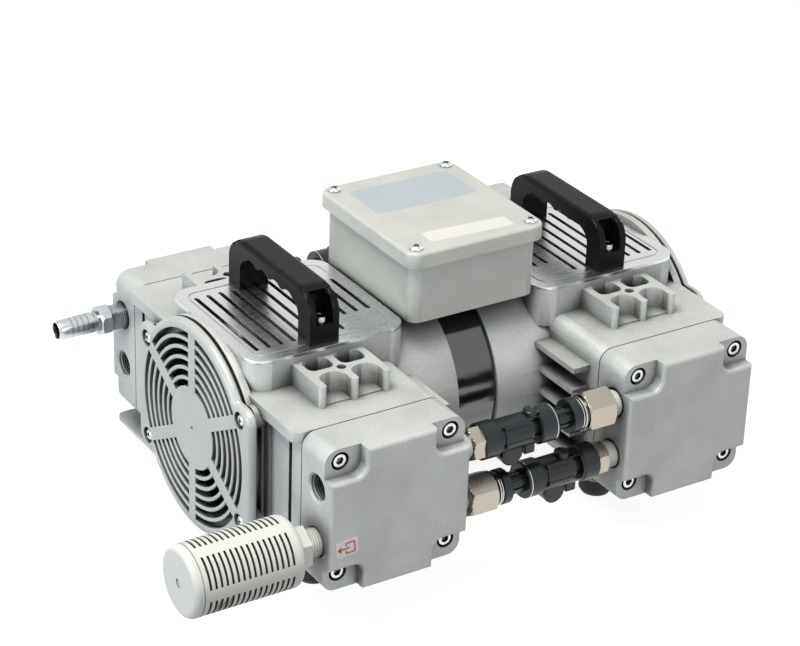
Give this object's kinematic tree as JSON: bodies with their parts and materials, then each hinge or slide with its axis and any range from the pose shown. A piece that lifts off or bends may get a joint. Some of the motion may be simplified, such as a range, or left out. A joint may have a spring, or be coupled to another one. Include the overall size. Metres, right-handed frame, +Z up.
{
  "type": "piston vacuum pump",
  "caption": "Oil-free twin piston vacuum pump: a double-ended motor between opposed cylinder units, with fans, handles, terminal box, couplings, silencer and hose tail.",
  "frame": {"origin": "on the floor under the middle of the whole outline", "axes": "+X along the motor shaft away from the silencer, -Y the front with the silencer, +Z up"},
  "size_m": [0.4692, 0.3264, 0.2169],
  "materials": {
    "cast_aluminium": "as cast",
    "cover_grey": "satin",
    "black_paint": "gloss",
    "lamination": "plain",
    "steel": "bright",
    "machined_aluminium": "machined",
    "seal": "plain",
    "polished_plate": "polished",
    "black_plastic": "satin",
    "nickel": "nickel plated",
    "zinc_steel": "zinc plated",
    "grey_plastic": "satin",
    "ivory_plastic": "satin",
    "rubber": "matt"
  },
  "bodies": {
    "pump": {"crankcase_left": "cast_aluminium", "crankcase_right": "cast_aluminium", "motor_band": "black_paint", "stator": "lamination", "bearings_left": "steel", "bearings_right": "steel", "liner_left_front": "machined_aluminium", "liner_left_back": "machined_aluminium", "liner_right_front": "machined_aluminium", "liner_right_back": "machined_aluminium", "valve_left_front": "steel", "valve_left_back": "steel", "valve_right_front": "steel", "valve_right_back": "steel", "head_left_front": "cast_aluminium", "head_left_back": "cast_aluminium", "head_right_front": "cast_aluminium", "head_right_back": "cast_aluminium", "head_screws_left": "steel", "head_screws_right": "steel", "fan_cover_left": "cover_grey", "fan_cover_right": "cover_grey", "cover_screws": "steel", "duct_plate_left": "polished_plate", "duct_plate_right": "polished_plate", "handle_left": "black_plastic", "handle_right": "black_plastic", "handle_screws": "steel", "terminal_box": "cast_aluminium", "box_lid": "cast_aluminium", "lid_screws": "steel", "terminal_block": "black_plastic", "cable_gland": "grey_plastic", "feet_left": "rubber", "feet_right": "rubber", "coupler_front_upper": "black_plastic", "coupler_front_lower": "black_plastic", "coupler_back_upper": "black_plastic", "coupler_back_lower": "black_plastic", "nuts_front_upper": "nickel", "nuts_front_lower": "nickel", "nuts_back_upper": "nickel", "nuts_back_lower": "nickel", "silencer": "ivory_plastic", "hose_tail": "zinc_steel"},
    "rotor": {"motor_shaft": "steel", "rotor_core": "lamination", "crank_left": "steel", "crank_right": "steel", "fan_left": "black_plastic", "fan_right": "black_plastic"},
    "rod_left_front": {"rod_left_front": "machined_aluminium", "cup_left_front": "seal"},
    "rod_left_back": {"rod_left_back": "machined_aluminium", "cup_left_back": "seal"},
    "rod_right_front": {"rod_right_front": "machined_aluminium", "cup_right_front": "seal"},
    "rod_right_back": {"rod_right_back": "machined_aluminium", "cup_right_back": "seal"}
  },
  "joints": [
    {"name": "rotor_spin", "type": "hinge", "parent": "pump", "child": "rotor", "pos_m": [0.0422, 0.00325, 0.0855], "axis": [1, 0, 0], "continuous": true},
    {"name": "left_front_rod_turn", "type": "hinge", "parent": "rotor", "child": "rod_left_front", "pos_m": [-0.0783, -0.00075, 0.0855], "axis": [1, 0, 0], "continuous": true},
    {"name": "left_back_rod_turn", "type": "hinge", "parent": "rotor", "child": "rod_left_back", "pos_m": [-0.0783, -0.00075, 0.0855], "axis": [1, 0, 0], "continuous": true},
    {"name": "right_front_rod_turn", "type": "hinge", "parent": "rotor", "child": "rod_right_front", "pos_m": [0.1627, 0.00725, 0.0855], "axis": [1, 0, 0], "continuous": true},
    {"name": "right_back_rod_turn", "type": "hinge", "parent": "rotor", "child": "rod_right_back", "pos_m": [0.1627, 0.00725, 0.0855], "axis": [1, 0, 0], "continuous": true}
  ],
  "couplings": [
    {"joint": "left_front_rod_turn", "follows": "rotor_spin", "ratio": -1},
    {"joint": "left_back_rod_turn", "follows": "rotor_spin", "ratio": -1},
    {"joint": "right_front_rod_turn", "follows": "rotor_spin", "ratio": -1},
    {"joint": "right_back_rod_turn", "follows": "rotor_spin", "ratio": -1}
  ]
}
